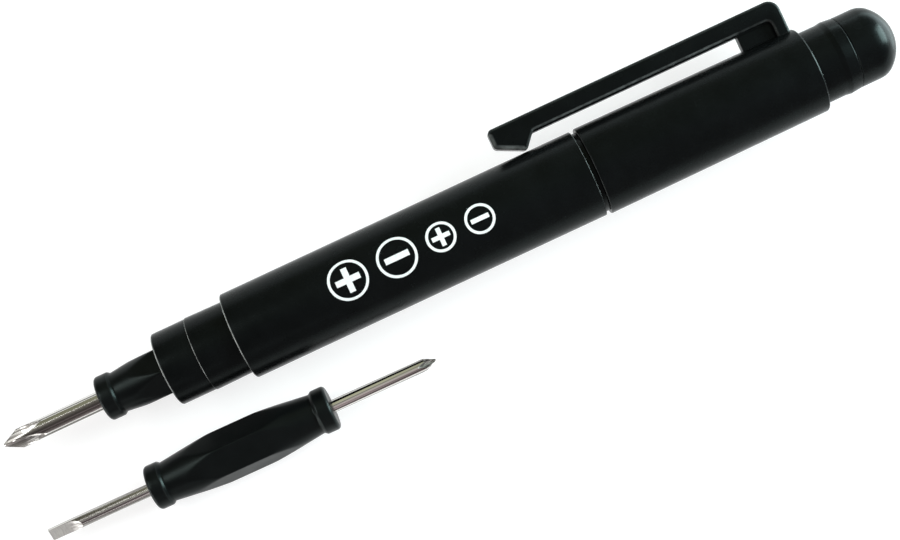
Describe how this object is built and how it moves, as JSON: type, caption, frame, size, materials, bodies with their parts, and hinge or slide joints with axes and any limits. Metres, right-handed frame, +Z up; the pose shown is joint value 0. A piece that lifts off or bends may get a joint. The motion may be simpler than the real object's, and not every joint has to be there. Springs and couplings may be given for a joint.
{
  "type": "pocket screwdriver",
  "caption": "Pen-style pocket screwdriver with a pull-off cap, sprung pocket clip, hex-socketed nose and reversible double-ended bit, with its thinner spare bit lying beside it.",
  "frame": {"origin": "on the table, under the middle of the box around the screwdriver and its spare bit", "axes": "+X along the handle from the tip to the tail, +Y towards the pocket clip, +Z up from the table"},
  "size_m": [0.1466, 0.0318, 0.0138],
  "materials": {
    "black_plastic": "satin moulded black plastic",
    "clip_plastic": "satin moulded black plastic with softened edges",
    "grip_plastic": "smooth moulded black plastic",
    "blade_steel": "bright nickel-plated steel with fine drawn lines and ground tips",
    "socket_steel": "plain pressed steel",
    "spring_steel": "plain spring steel",
    "black_rubber": "soft black rubber"
  },
  "bodies": {
    "handle": {"barrel": "black_plastic", "nose_ring": "black_plastic", "nose_bush": "black_plastic", "hex_socket": "socket_steel", "snap_ring": "spring_steel", "core_tube": "black_plastic"},
    "cap_ring": {"friction_ring": "black_rubber"},
    "cap": {"cap": "black_plastic", "tail_plug": "black_plastic", "tail_dome": "black_plastic", "clip_root": "clip_plastic"},
    "clip": {"clip_arm": "clip_plastic"},
    "driver_bit": {"large_grip": "grip_plastic", "large_blade": "blade_steel"},
    "spare_bit": {"small_grip": "grip_plastic", "small_blade": "blade_steel"}
  },
  "joints": [
    {"name": "cap_pull", "type": "slide", "parent": "handle", "child": "cap_ring", "axis": [1, 0, 0], "range_m": [0, 0.045]},
    {"name": "cap_turn", "type": "hinge", "parent": "cap_ring", "child": "cap", "pos_m": [0.0413, 0.00392, 0.0069], "axis": [1, 0, 0], "continuous": true},
    {"name": "clip_flex", "type": "hinge", "parent": "cap", "child": "clip", "pos_m": [0.05792, 0.01465, 0.0069], "axis": [0, 0, -1], "range_deg": [0, 3.5], "stiffness_Nm_per_rad": 2.2},
    {"name": "bit_pull", "type": "slide", "parent": "handle", "child": "driver_bit", "axis": [-1, 0, 0], "range_m": [0, 0.04], "deforming": ["snap_ring"]},
    {"name": "spare_lift", "type": "slide", "parent": "handle", "child": "spare_bit", "axis": [0, 0, 1], "range_m": [0, 0.03]}
  ]
}
